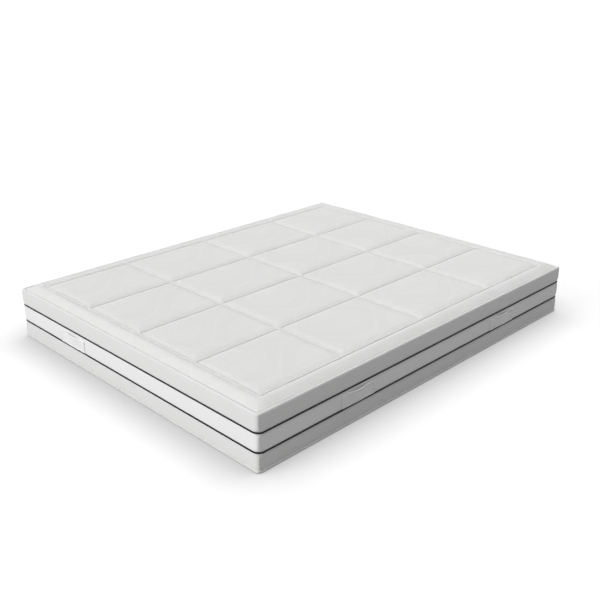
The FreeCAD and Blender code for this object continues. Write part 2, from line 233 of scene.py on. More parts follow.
class Finish:
    """A material under construction, with its shader's constant settings given by name."""

    def __init__(self, name, **constants):
        self.material = bpy.data.materials.new(name)
        self.material.use_nodes = True
        self.tree = self.material.node_tree
        self.shader = self.tree.nodes["Principled BSDF"]
        for socket, value in constants.items():
            self.shader.inputs[socket.replace("_", " ")].default_value = value

    def node(self, kind, options=None, **inputs):
        node = self.tree.nodes.new("ShaderNode" + kind)
        for key, value in (options or {}).items():
            setattr(node, key, value)
        for key, value in inputs.items():
            socket = node.inputs[int(key[1:]) if key[1:].isdigit() else key.replace("_", " ")]
            self.feed(socket, value)
        return node

    def feed(self, socket, value):
        if isinstance(value, Value):
            self.tree.links.new(value.socket, socket)
        elif isinstance(value, bpy.types.NodeSocket):
            self.tree.links.new(value, socket)
        else:
            socket.default_value = value

    def value(self, socket):
        return Value(self.tree, socket)

    def place(self):
        """x, y and z of the piece's own coordinates, as values."""
        coordinates = self.node("TexCoord").outputs["Object"]
        parts = self.node("SeparateXYZ", Vector=coordinates)
        return [self.value(s) for s in parts.outputs], coordinates

    def cloth(self):
        """Run along and across the cloth in metres, as values and as a vector."""
        uv = self.node("UVMap", {"uv_map": "cloth"}).outputs["UV"]
        parts = self.node("SeparateXYZ", Vector=uv)
        return self.value(parts.outputs[0]), self.value(parts.outputs[1]), uv

    def noise(self, vector, scale, detail=2.0, rough=0.5):
        node = self.node("TexNoise", Vector=vector, Scale=scale, Detail=detail, Roughness=rough)
        return self.value(node.outputs["Fac"])

    def tint(self, colour_value, factor):
        """A colour multiplied by a value."""
        mix = self.node("VectorMath", {"operation": "SCALE"}, Vector=colour_value, Scale=factor)
        return mix.outputs["Vector"]

    def bump(self, height, depth, strength=1.0):
        node = self.node("Bump", Height=height, Distance=depth, Strength=strength)
        self.feed(self.shader.inputs["Normal"], node.outputs["Normal"])


def knit(finish, run, across, gauge):
    """Rows of small rounded loops, 0 to 1."""
    turns = 2 * math.pi / gauge
    columns = (run * turns).sin() * 0.5 + 0.5
    rows = (across * turns + (run * (turns / 2)).sin() * 1.2).sin() * 0.5 + 0.5
    return (columns * rows).power(0.6)


def cover_fabric():
    """Fine knit with a speckle and broad tone-on-tone ogees, and painted shade along its sewn lines and stitch
    holes.
    """
    tone = settings("colours").cover
    finish = Finish("cover_fabric", Roughness=0.88, Sheen_Weight=0.08, Sheen_Roughness=0.5)
    run, across, uv = finish.cloth()
    speckle = finish.noise(uv, 320, 2.0, 0.7) - 0.5
    cloudy = finish.noise(uv, 7, 2.0) - 0.5
    mottle = finish.noise(uv, 120, 2.0, 0.6) - 0.5
    sway = (across * (2 * math.pi / 0.54)).cos()
    from_net = (run / 0.19 - sway * 0.5).off_line(2).lesser((run / 0.19 - 1 + sway * 0.5).off_line(2))
    vein = (run / 0.19 - 0.5).off_line(1)
    leaf = 1 - from_net.step(0.045, 0.060) + from_net.step(0.42, 0.44) - (1 - vein.step(0.02, 0.035)) * from_net.step(0.42, 0.44)
    sewn = finish.value(finish.node("Attribute", {"attribute_name": "sewn"}).outputs["Fac"])
    # painted shade: darker along the sewn lines and the edge seam, standing in for the shadow in the seam grooves
    stitch_shade_mask = 1 - abs(sewn).step(0.0006, 0.0016)
    dash = ((run + across) * (1 / settings("quilt").stitch)).fraction().step(0.55, 0.75)
    pulled = 1 - abs(sewn).step(0.001, 0.012)
    # the last factor is the painted shade along the sewn lines, stronger in dashes for the stitch holes
    shade = (leaf * 0.020 + speckle * 0.34 + mottle * 0.11 + cloudy * 0.02 + 0.990) * (1 - stitch_shade_mask * (0.24 - dash * 0.12))
    finish.feed(finish.shader.inputs["Base Color"], finish.tint((*tone,), shade))
    loops = knit(finish, run, across, 0.0021)
    crease = finish.noise(uv, 90, 2.0, 0.6)
    finish.bump(loops * 0.4 + speckle * 0.8 + crease * pulled * 2.5 - stitch_shade_mask * 1.5, 0.0005, 0.6)
    return finish.material


def band_fabric():
    """The same fine knit without the woven figure."""
    tone = settings("colours").cover
    finish = Finish("band_fabric", Roughness=0.88, Sheen_Weight=0.08, Sheen_Roughness=0.5)
    run, across, uv = finish.cloth()
    speckle = finish.noise(uv, 270, 2.0, 0.7) - 0.5
    cloudy = finish.noise(uv, 9, 2.0) - 0.5
    mottle = finish.noise(uv, 130, 2.0, 0.6) - 0.5
    shade = speckle * 0.20 + mottle * 0.05 + cloudy * 0.02 + 1.0
    finish.feed(finish.shader.inputs["Base Color"], finish.tint((*tone,), shade))
    loops = knit(finish, run, across, 0.0021)
    finish.bump(loops * 0.5 + speckle * 0.8, 0.0004, 0.55)
    return finish.material


def middle_fabric():
    """Smoother and whiter, with upright ribs."""
    tone = settings("colours").middle
    finish = Finish("middle_fabric", Roughness=0.8, Sheen_Weight=0.06, Sheen_Roughness=0.4)
    run, across, uv = finish.cloth()
    ribs = (run * (2 * math.pi / 0.0026)).sin() * 0.5 + 0.5
    dots = knit(finish, run, across, 0.0026)
    mottle = finish.noise(uv, 260, 2.0, 0.6) - 0.5
    shade = mottle * 0.05 + 1.0
    finish.feed(finish.shader.inputs["Base Color"], finish.tint((*tone,), shade))
    finish.bump(ribs * 0.4 + dots * 0.5 + mottle * 0.4, 0.0003, 0.5)
    return finish.material


def strap_fabric():
    """Close woven strap: its bound rim a whiter tape with a painted highlight, its stitch rows with a painted
    highlight and painted shade in the stitch holes.
    """
    tone = settings("colours").middle
    finish = Finish("strap_fabric", Roughness=0.75, Sheen_Weight=0.08, Sheen_Roughness=0.4)
    run, across, uv = finish.cloth()
    sewn = finish.value(finish.node("Attribute", {"attribute_name": "sewn"}).outputs["Fac"])
    bound_and_lit = finish.value(finish.node("Attribute", {"attribute_name": "bound_and_lit"}).outputs["Fac"])
    # painted shade: darker dashes along the stitch rows, standing in for the shadow in the stitch holes
    stitch_shade_mask = 1 - sewn.step(0.0003, 0.0008)
    dash = ((run + across) * 250).fraction().step(0.5, 0.7)
    warp = (across * (2 * math.pi / 0.0018)).sin()
    weft = (run * (2 * math.pi / 0.0018)).sin()
    weave = warp * weft * 0.5 + 0.5
    mottle = finish.noise(uv, 300, 2.0, 0.6) - 0.5
    # the rim is lighter partly as a whiter binding tape and partly as a painted highlight; the stitch rows are
    # lighter as a painted highlight
    finish.feed(
        finish.shader.inputs["Base Color"],
        finish.tint((*tone,), (weave * 0.05 + mottle * 0.06 + 0.99 + bound_and_lit * 0.12) * (1 - stitch_shade_mask * dash * 0.3)),
    )
    finish.bump(weave + mottle * 0.3 - stitch_shade_mask * dash * 2, 0.0003, 0.7)
    return finish.material


def piping_fabric():
    """Dark bias tape: a fine twill slanting round the cord."""
    tone = settings("colours").piping
    finish = Finish("piping_fabric", Roughness=0.7, Sheen_Weight=0.03, Sheen_Roughness=0.4, Specular_IOR_Level=0.25)
    run, across, uv = finish.cloth()
    twill = ((run + across) * (2 * math.pi / 0.0016)).sin() * 0.5 + 0.5
    lint = finish.noise(uv, 500, 2.0, 0.7)
    finish.feed(finish.shader.inputs["Base Color"], finish.tint((*tone,), twill * 0.35 + lint * 0.5 + 0.6))
    finish.bump(twill, 0.0002, 0.7)
    return finish.material


def plain_finish(name, tone, rough, grain, depth, **constants):
    """A finish with a fine even grain in the piece's own coordinates."""
    finish = Finish(name, Roughness=rough, **constants)
    _, place = finish.place()
    mottle = finish.noise(place, grain, 3.0, 0.6)
    finish.feed(finish.shader.inputs["Base Color"], finish.tint((*tone,), mottle * 0.16 + 0.92))
    finish.feed(finish.shader.inputs["Roughness"], mottle * 0.2 + (rough - 0.1))
    finish.bump(mottle, depth)
    return finish.material


# ---------------------------------------------------------------- mesh helpers
def deselect():
    bpy.ops.object.select_all(action="DESELECT")


def grid_faces(rows, columns, ring_rows=False, ring_columns=False):
    """Quads over a grid of points numbered row by row."""
    last_row = rows if ring_rows else rows - 1
    last_column = columns if ring_columns else columns - 1
    i, j = np.meshgrid(np.arange(last_row), np.arange(last_column), indexing="ij")
    right, down = (j + 1) % columns, (i + 1) % rows
    return np.stack(
        [i * columns + j, i * columns + right, down * columns + right, down * columns + j], -1
    ).reshape(-1, 4)


def make_mesh(name, points, faces, uv=None):
    """A mesh object from points, faces and one uv per point."""
    mesh = bpy.data.meshes.new(name)
    mesh.from_pydata(points.tolist(), [], [list(map(int, f)) for f in faces])
    if uv is not None:
        layer = mesh.uv_layers.new(name="cloth")
        corner = np.zeros(len(mesh.loops), np.int32)
        mesh.loops.foreach_get("vertex_index", corner)
        layer.data.foreach_set("uv", uv[corner].astype(np.float32).ravel())
    mesh.update()
    obj = bpy.data.objects.new(name, mesh)
    bpy.context.scene.collection.objects.link(obj)
    return obj


def outward(obj):
    """Turns every face of a closed piece outwards."""
    deselect()
    bpy.context.view_layer.objects.active = obj
    obj.select_set(True)
    bpy.ops.object.mode_set(mode="EDIT")
    bpy.ops.mesh.select_all(action="SELECT")
    bpy.ops.mesh.normals_make_consistent(inside=False)
    bpy.ops.object.mode_set(mode="OBJECT")


def smooth(obj, degrees=50):
    deselect()
    bpy.context.view_layer.objects.active = obj
    obj.select_set(True)
    bpy.ops.object.shade_smooth_by_angle(angle=math.radians(degrees))


def dress(obj, material, replaces=(), body=BODY):
    """Gives a finished piece its material and its place in the frame."""
    obj.data.materials.clear()
    obj.data.materials.append(material)
    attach(obj, body)
    if replaces:
        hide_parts(*replaces)
    return obj


def spread(start, end, step):
    """Evenly spaced numbers from start to end, about step apart."""
    return np.linspace(start, end, max(2, int(round(abs(end - start) / step)) + 1))


def arc(centre, radius, start, end, count):
    """Points (inset, height) on a quarter turn; angles from the outward side, in degrees."""
    a = np.radians(np.linspace(start, end, count))
    return [(centre[0] - radius * math.cos(t), centre[1] + radius * math.sin(t)) for t in a]


def side_path(side, radius, step, corner_steps=16):
    """One side from corner middle to corner middle: skeleton points, outward normals, run."""
    ends = {
        "right": ((1, -1), (1, 1), 0),
        "head": ((1, 1), (-1, 1), 90),
        "left": ((-1, 1), (-1, -1), 180),
        "foot": ((-1, -1), (1, -1), 270),
    }
    first, second, face = ends[side]
    a = np.array([first[0] * (HALF_X - radius), first[1] * (HALF_Y - radius)])
    b = np.array([second[0] * (HALF_X - radius), second[1] * (HALF_Y - radius)])
    turn = np.radians(np.linspace(-45 + SEAM_TURN, 0, corner_steps + 1))
    last_turn = np.radians(np.linspace(0, 45 + SEAM_TURN, corner_steps + 1))
    along = spread(0, 1, step / np.linalg.norm(b - a))[1:-1]
    base = math.radians(face)
    angles = np.concatenate([base + turn, np.full(len(along), base), base + last_turn])
    anchors = np.concatenate(
        [np.repeat([a], len(turn), 0), a + along[:, None] * (b - a), np.repeat([b], len(turn), 0)]
    )
    normals = np.stack([np.cos(angles), np.sin(angles)], 1)
    outline = anchors + normals * radius
    run = np.concatenate([[0], np.cumsum(np.linalg.norm(np.diff(outline, axis=0), axis=1))])
    return anchors, normals, run


def loop_path(radius, step):
    """The whole outline, as side_path gives it, without repeated points."""
    anchors, normals, run, start = [], [], [], 0.0
    for side in SIDES:
        a, n, s = side_path(side, radius, step)
        anchors.append(a[:-1])
        normals.append(n[:-1])
        run.append(s[:-1] + start)
        start += s[-1]
    return np.concatenate(anchors), np.concatenate(normals), np.concatenate(run), start


def loft(name, path, inset, height, radius, ring):
    """A shell from a closed profile carried along a path. inset and height are path by profile."""
    anchors, normals, run = path
    reach = radius - inset
    points = np.concatenate(
        [anchors[:, None, :] + normals[:, None, :] * reach[:, :, None], height[:, :, None]], 2
    )
    rows, columns = inset.shape
    profile = np.zeros_like(inset)
    profile[:, 1:] = np.cumsum(
        np.hypot(np.diff(inset, axis=1), np.diff(height, axis=1)), axis=1
    )
    uv = np.stack([np.broadcast_to(run[:, None], inset.shape), profile], 2).reshape(-1, 2)
    faces = grid_faces(rows, columns, ring_rows=ring, ring_columns=True).tolist()
    if not ring:
        faces.append(list(range(columns)))
        faces.append([(rows - 1) * columns + j for j in reversed(range(columns))])
    obj = make_mesh(name, points.reshape(-1, 3), faces, uv)
    outward(obj)
    return obj


# ---------------------------------------------------------------- shapes of the seams
def rounded_box(x, y, half_x, half_y, radius):
    """Signed distance to a rounded rectangle, negative inside."""
    dx, dy = np.abs(x) - half_x + radius, np.abs(y) - half_y + radius
    outside = np.hypot(np.maximum(dx, 0), np.maximum(dy, 0))
    return outside + np.minimum(np.maximum(dx, dy), 0) - radius


def ease(t):
    t = np.clip(t, 0, 1)
    return t * t * (3 - 2 * t)


def waves(x, y, size, seed):
    """Smooth unevenness from a few crossing waves, about -1 to 1."""
    total = np.zeros(np.broadcast(x, y).shape)
    for k in range(5):
        turn = seed * 1.7 + k * 2.4
        scale = 2 * math.pi / (size * (0.7 + 0.23 * k))
        total = total + np.sin((x * math.cos(turn) + y * math.sin(turn)) * scale + seed + k * 1.3)
    return total / 2.6


def offset_profile(outer, thickness):
    """A closed profile from an open outer one, its inner side a fabric's thickness in."""
    outer = np.array(outer)
    tangent = np.gradient(outer, axis=0)
    tangent /= np.linalg.norm(tangent, axis=1)[:, None]
    inward = np.stack([tangent[:, 1], -tangent[:, 0]], 1)
    if inward[len(outer) // 2, 0] < 0:
        inward = -inward
    return np.concatenate([outer, (outer + inward * thickness)[::-1]])


def band_profile(low, high, size, lip):
    """Outer side of a band, as (inset, height): from its lower seam up, and over the edge if it has a lip."""
    top = EDGE_TOP - size.edge_roll if lip else high
    points = []
    for t in np.concatenate([[0], 0.5 - 0.5 * np.cos(np.linspace(0.12, math.pi - 0.12, 15)), [1]]):
        swell = 1 - abs(2 * t - 1) ** 3
        tuck = size.tuck * (max(0, 1 - t / 0.035) + (0 if lip else max(0, (t - 0.965) / 0.035)))
        points.append((tuck - size.bulge * swell, low + (top - low) * t))
    if lip:
        points += arc((size.edge_roll, top), size.edge_roll, 10, 90, 9)
        for t in (0.35, 0.65, 0.85, 0.95, 1):
            inset = size.edge_roll + (SEAM_INSET - size.edge_roll) * t
            points.append((inset, EDGE_TOP - size.seam_drop * t**2.5))
        points.append((SEAM_INSET + 0.0006, EDGE_TOP - size.seam_drop - 0.0025))
    return points


def corner_swell(normals, weight):
    """How far the fabric stands out at a corner, where it is pulled to a blunt point between the pipings."""
    power = 4.0
    beyond = (np.abs(normals) ** power).sum(1) ** (-1 / power) - 1
    return settings("border").corner * beyond[:, None] * weight


def uneven(path, profile, size, seam_ends, seed, held=(True, True)):
    """Profile carried along a path, with ripples beside its seams and creases at its ends."""
    _, normals, run = path
    inset = np.repeat(profile[None, :, 0], len(run), 0)
    height = np.repeat(profile[None, :, 1], len(run), 0)
    low, high = profile[:, 1].min(), profile[:, 1].max()
    near = np.exp(-(height - low) / 0.009) + np.exp(-(high - height) / 0.012)
    ripple = waves(run[:, None], height * 0.4, 0.042, seed) * near
    swell = waves(run[:, None], height, 0.26, seed + 2)
    inset = inset - size.pucker * ripple - size.pucker * 1.2 * swell
    loose = 1 - np.clip(inset / SEAM_INSET, 0, 1)
    if held[0]:
        loose = loose * ease((height - low - 0.002) / 0.011)
    if held[1]:
        loose = loose * ease((high - height - 0.002) / 0.011)
    inset = inset - corner_swell(normals, loose)
    if seam_ends:
        gap = np.minimum(run, run[-1] - run)[:, None]
        inset = inset + 0.0011 * np.exp(-((gap / 0.0016) ** 2)) - 0.0005 * np.exp(-(((gap - 0.004) / 0.003) ** 2))
    return inset, height


class MATTRESS_OT_upper_bands(bpy.types.Operator):
    """Makes the four upper border strips, each turned over the top edge to the quilted panel's seam"""

    bl_idname = "mattress.upper_bands"
    bl_label = "Upper Bands"

    def execute(self, context):
        border, quilt = settings("border"), settings("quilt")
        fabric = band_fabric()
        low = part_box("upper_border_right")[0].z - 0.0006
        size = EdgeSizes(border, quilt)
        profile = offset_profile(band_profile(low, EDGE_TOP, size, True), border.fabric)
        for number, side in enumerate(SIDES):
            path = side_path(side, border.corner, border.step)
            inset, height = uneven(path, profile, size, True, 3 + number, (True, False))
            strip = loft("upper_band_" + side, path, inset, height, border.corner, False)
            smooth(strip, 60)
            dress(strip, fabric, ["upper_border_" + side])
        return {"FINISHED"}


class EdgeSizes:
    """The sizes that a band's profile needs, gathered from the two panels."""

    def __init__(self, border, quilt):
        self.edge_roll, self.tuck, self.bulge = border.edge_roll, border.tuck, border.bulge
        self.pucker, self.seam_drop = border.pucker, quilt.seam_drop


class MATTRESS_OT_lower_bands(bpy.types.Operator):
    """Makes the four lower border strips between the hem seam and the lower piping"""

    bl_idname = "mattress.lower_bands"
    bl_label = "Lower Bands"

    def execute(self, context):
        border = settings("border")
        fabric = bpy.data.materials["band_fabric"]
        size = EdgeSizes(border, settings("quilt"))
        low, high = HEM_TOP - 0.0012, LOWER_PIPING[0].z + 0.0006
        profile = offset_profile(band_profile(low, high, size, False), border.fabric)
        for number, side in enumerate(SIDES):
            path = side_path(side, border.corner, border.step)
            inset, height = uneven(path, profile, size, True, 11 + number, (False, True))
            strip = loft("lower_band_" + side, path, inset, height, border.corner, False)
            smooth(strip, 60)
            dress(strip, fabric, ["lower_border_" + side])
        return {"FINISHED"}


class MATTRESS_OT_middle_band(bpy.types.Operator):
    """Makes the whiter middle band, one strip right round with the zip's opening in the head end"""

    bl_idname = "mattress.middle_band"
    bl_label = "Middle Band"

    def execute(self, context):
        border = settings("border")
        size = EdgeSizes(border, settings("quilt"))
        size.bulge = MIDDLE_BULGE
        low, high = BAND_LOW - 0.0006, BAND_HIGH + 0.0006
        profile = offset_profile(band_profile(low, high, size, False), border.fabric)
        anchors, normals, run, _ = loop_path(border.corner, border.step)
        outline = anchors + normals * border.corner
        edges = [ZIP_HALF + 0.0003, ZIP_HALF - 0.0003, -ZIP_HALF + 0.0003, -ZIP_HALF - 0.0003]
        head = (normals[:, 1] > 0.999) & (np.abs(normals[:, 0]) < 0.01)
        for x in edges:
            after = np.nonzero(head & (outline[:, 0] < x))[0][0]
            share = (outline[after - 1, 0] - x) / (outline[after - 1, 0] - outline[after, 0])
            point = anchors[after - 1] + (anchors[after] - anchors[after - 1]) * share
            anchors = np.insert(anchors, after, [x, point[1]], 0)
            normals = np.insert(normals, after, [0, 1], 0)
            run = np.insert(run, after, run[after - 1] + (run[after] - run[after - 1]) * share)
            outline = anchors + normals * border.corner
            head = (normals[:, 1] > 0.999) & (np.abs(normals[:, 0]) < 0.01)
        path = (anchors, normals, run)
        inset, height = uneven(path, profile, size, False, 21)
        opened = head & (np.abs(outline[:, 0]) < ZIP_HALF)
        lowered = low + (height - low) * (ZIP_SILL - low) / (high - low)
        height = np.where(opened[:, None], lowered, height)
        band = loft("middle_band", path, inset, height, border.corner, True)
        smooth(band, 60)
        dress(band, middle_fabric(), ["middle_border"])
        return {"FINISHED"}


MIDDLE_BULGE = 0.0007
ZIP_HALF = 0.75
ZIP_SILL = ZIP_TAPE[0].z + 0.010


# ---------------------------------------------------------------- quilted top
def stations(lines, rim, size):
    """Where the quilt's mesh lines cross one axis: close together at seams, wide apart in pads."""
    half = size.channel / 2
    away = half + np.array([-0.006, -0.0035, -0.0014, -0.0005, 0, 0.0006, 0.0016, 0.003, 0.005, 0.0075,
                            0.0105, 0.014, 0.0185, 0.0245, 0.032])
    found = [0.0]
    for start, end in zip(lines, lines[1:]):
        found += list(start + away[1:]) + list(end - away[1:]) + [end]
        found += list(spread(start + away[-1], end - away[-1], 0.0105)[1:-1])
    last = lines[-1]
    middle = (last + half + rim) / 2
    found += [last + a for a in away[1:] if last + a < middle]
    from_rim = [0, 0.0006, 0.0014, 0.0026, 0.0042, 0.0064, 0.0092, 0.0125, 0.0165, 0.021, 0.0255, 0.030]
    found += [rim - a for a in from_rim if rim - a > middle + 0.001]
    found = np.unique(np.round(found, 6))
    return np.concatenate([-found[:0:-1], found])


def round_corner(x, y, half_x, half_y, radius):
    """Moves a rectangle's points so that its corners become round."""
    dx = np.clip(np.abs(x) - half_x + radius, 0, radius)
    dy = np.clip(np.abs(y) - half_y + radius, 0, radius)
    shorter_x = dx * (1 - np.sqrt(1 - (dy / radius) ** 2 / 2))
    shorter_y = dy * (1 - np.sqrt(1 - (dx / radius) ** 2 / 2))
    return x - np.sign(x) * shorter_x, y - np.sign(y) * shorter_y


def quilt_heights(x, y, size):
    """Height of the quilted face, and the distance to its nearest sewn line."""
    half_x, half_y = HALF_X - SEAM_INSET, HALF_Y - SEAM_INSET
    corner = settings("border").corner - SEAM_INSET
    half = size.channel / 2
    sewn_z = CROWN - size.channel_depth
    rim_z = EDGE_TOP - size.seam_drop
    column = np.abs(x) > size.column_x
    row = np.abs(y) > size.row_y
    low_x, high_x = np.where(column, size.column_x, 0), np.where(column, size.field_x, size.column_x)
    low_y, high_y = np.where(row, size.row_y, 0), np.where(row, size.field_y, size.row_y)
    inside = -rounded_box(
        np.abs(x) - (low_x + high_x) / 2,
        np.abs(y) - (low_y + high_y) / 2,
        (high_x - low_x) / 2 - half,
        (high_y - low_y) / 2 - half,
        size.pad_corner,
    )
    full = 1 - (1 - np.clip(inside / size.shoulder, 0, 1)) ** 2.1
    strip = 1 - (1 - np.clip(-inside / half, 0, 1)) ** 3.2
    uneven_crown = 0.00035 * waves(x, y, 0.34, 5)
    pucker = 0.00042 * waves(x, y, 0.046, 8) * np.exp(-np.abs(inside) / 0.014) * ease(inside / 0.004)
    pad = sewn_z + (size.channel_depth - 0.0004 + uneven_crown) * full + pucker
    channel = sewn_z + size.strip_height * strip
    field = np.where(inside > 0, pad, channel)
    beyond = rounded_box(x, y, size.field_x + half, size.field_y + half, size.pad_corner + half)
    to_rim = -rounded_box(x, y, half_x, half_y, corner)
    t = to_rim / np.maximum(to_rim + np.maximum(beyond, 0), 1e-6)
    crest_z = sewn_z + size.roll_height
    fall = np.clip((0.70 - t) / 0.70, 0, 1) ** 1.3
    rise = np.clip((1 - t) / 0.34, 0, 1)
    roll = crest_z - (crest_z - rim_z) * fall - size.roll_height * (1 - rise) ** 3.0
    roll = roll - 0.0014 * np.exp(-((to_rim / 0.0014) ** 2))
    roll = roll + 0.0003 * waves(x, y, 0.055, 2) * np.exp(-to_rim / 0.016) * ease(to_rim / 0.004)
    roll = roll + 0.0002 * waves(x, y, 0.2, 9)
    outside = beyond > 0
    sewn = np.where(outside, np.minimum(beyond, to_rim), inside)
    return np.where(outside, roll, field), sewn


class MATTRESS_OT_top_quilt(bpy.types.Operator):
    """Makes the quilted top: sixteen padded blocks in sewn channels, a padded rim and the backing"""

    bl_idname = "mattress.top_quilt"
    bl_label = "Quilted Top"

    def execute(self, context):
        size = settings("quilt")
        half_x, half_y = HALF_X - SEAM_INSET, HALF_Y - SEAM_INSET
        corner = settings("border").corner - SEAM_INSET
        xs = stations([0, size.column_x, size.field_x], half_x, size)
        ys = stations([0, size.row_y, size.field_y], half_y, size)
        grid_x, grid_y = np.meshgrid(xs, ys, indexing="ij")
        x, y = round_corner(grid_x, grid_y, half_x, half_y, corner)
        z, sewn = quilt_heights(x, y, size)
        rows, columns = x.shape
        points = [np.stack([x, y, z], 2).reshape(-1, 3)]
        faces = [grid_faces(rows, columns)]
        distance = [sewn.ravel()]
        index = np.arange(rows * columns).reshape(rows, columns)
        rim = np.concatenate([index[:, 0], index[-1, 1:], index[-2::-1, -1], index[0, -2:0:-1]])
        ring = rim
        count = rows * columns
        floor = PANEL_FLOOR
        for outwards, level in ((0.0008, EDGE_TOP - 0.0042), (0.0008, floor + 0.0012), (-0.0004, floor)):
            edge = points[0][rim]
            away = np.stack([edge[:, 0] / half_x, edge[:, 1] / half_y], 1)
            away /= np.abs(away).max(1)[:, None]
            moved = np.column_stack([edge[:, :2] + away * outwards, np.full(len(rim), level)])
            points.append(moved)
            distance.append(np.full(len(rim), -0.004))
            new = np.arange(count, count + len(rim))
            faces.append(np.stack([ring, np.roll(ring, -1), np.roll(new, -1), new], 1))
            ring, count = new, count + len(rim)
        under = [list(f) for f in np.concatenate(faces)] + [list(ring)]
        points = np.concatenate(points)
        quilt = make_mesh("top_quilt", points, under, points[:, :2])
        seam = quilt.data.attributes.new("sewn", "FLOAT", "POINT")
        seam.data.foreach_set("value", np.concatenate(distance).astype(np.float32))
        outward(quilt)
        smooth(quilt, 60)
        dress(quilt, cover_fabric(), ["top_fabric", "top_wadding", "top_backing"])
        return {"FINISHED"}


# ---------------------------------------------------------------- piping
def pick(obj, chosen):
    """Selects the vertices, edges and faces all of whose points are chosen, in edit mode."""
    deselect()
    bpy.context.view_layer.objects.active = obj
    obj.select_set(True)
    for vertex in obj.data.vertices:
        vertex.select = bool(chosen(vertex.co))
    for edge in obj.data.edges:
        edge.select = all(obj.data.vertices[v].select for v in edge.vertices)
    for face in obj.data.polygons:
        face.select = all(obj.data.vertices[v].select for v in face.vertices)
    bpy.ops.object.mode_set(mode="EDIT")


def piping_tube(name, level, radius, corner):
    """A round tube run along the sides by extruding, and round the corners by spinning."""
    deselect()
    bpy.ops.mesh.primitive_circle_add(
        vertices=14, radius=radius, location=(HALF_X, 0, level), rotation=(math.pi / 2, 0, 0)
    )
    tube = bpy.context.object
    tube.name = name
    bpy.ops.object.transform_apply(location=True, rotation=True, scale=True)
    bpy.ops.object.mode_set(mode="EDIT")
    bpy.ops.mesh.select_all(action="SELECT")
    sides = (
        ((0, 1), HALF_Y - corner, (1, 1)),
        ((-1, 0), 2 * (HALF_X - corner), (-1, 1)),
        ((0, -1), 2 * (HALF_Y - corner), (-1, -1)),
        ((1, 0), 2 * (HALF_X - corner), (1, -1)),
        ((0, 1), HALF_Y - corner, None),
    )
    for along, reach, turn in sides:
        pieces = int(reach / 0.05) + 1
        for _ in range(pieces):
            move = (along[0] * reach / pieces, along[1] * reach / pieces, 0)
            bpy.ops.mesh.extrude_region_move(TRANSFORM_OT_translate={"value": move})
        if turn:
            centre = (turn[0] * (HALF_X - corner), turn[1] * (HALF_Y - corner), level)
            bpy.ops.mesh.spin(steps=12, angle=-math.pi / 2, center=centre, axis=(0, 0, 1))
    bpy.ops.mesh.select_all(action="SELECT")
    bpy.ops.mesh.remove_doubles(threshold=0.00005)
    bpy.ops.mesh.normals_make_consistent(inside=False)
    bpy.ops.object.mode_set(mode="OBJECT")
    return tube


def tube_cloth(tube, level, radius, corner):
    """Gives a piping tube its run and its turn round the cord as a uv map."""
    mesh = tube.data
    points = np.zeros(len(mesh.vertices) * 3)
    mesh.vertices.foreach_get("co", points)
    points = points.reshape(-1, 3)
    away = rounded_box(points[:, 0], points[:, 1], HALF_X, HALF_Y, corner)
    turn = np.arctan2(points[:, 2] - level, away)
    anchors, normals, run, total = loop_path(corner, 0.05)
    outline = anchors + normals * corner
    from mathutils.kdtree import KDTree

    tree = KDTree(len(outline))
    for i, p in enumerate(outline):
        tree.insert((p[0], p[1], 0), i)
    tree.balance()
    along = np.zeros(len(points))
    for i, p in enumerate(points):
        _, near, _ = tree.find((p[0], p[1], 0))
        tangent = np.array([-normals[near][1], normals[near][0]])
        along[i] = run[near] + np.dot(p[:2] - outline[near], tangent)
    corners = np.zeros(len(mesh.loops), np.int32)
    mesh.loops.foreach_get("vertex_index", corners)
    first = np.repeat([f.loop_start for f in mesh.polygons], [f.loop_total for f in mesh.polygons])
    u, v = along[corners], turn[corners]
    u = u - total * np.round((u - u[first]) / total)
    v = v - 2 * math.pi * np.round((v - v[first]) / (2 * math.pi))
    layer = mesh.uv_layers.new(name="cloth")
    layer.data.foreach_set("uv", np.stack([u, v * radius], 1).astype(np.float32).ravel())


class MATTRESS_OT_piping(bpy.types.Operator):
    """Makes the two runs of dark piping between the bands"""

    bl_idname = "mattress.piping"
    bl_label = "Piping"

    def execute(self, context):
        corner = settings("border").corner
        fabric = piping_fabric()
        for name, (low, high) in (("lower", LOWER_PIPING), ("upper", UPPER_PIPING)):
            level = (low.z + high.z) / 2
            tube = piping_tube(name + "_piping", level, PIPING_RADIUS, corner)
            tube_cloth(tube, level, PIPING_RADIUS, corner)
            smooth(tube, 80)
            dress(tube, fabric, [name + "_piping_cover", name + "_piping_cord"])
        return {"FINISHED"}


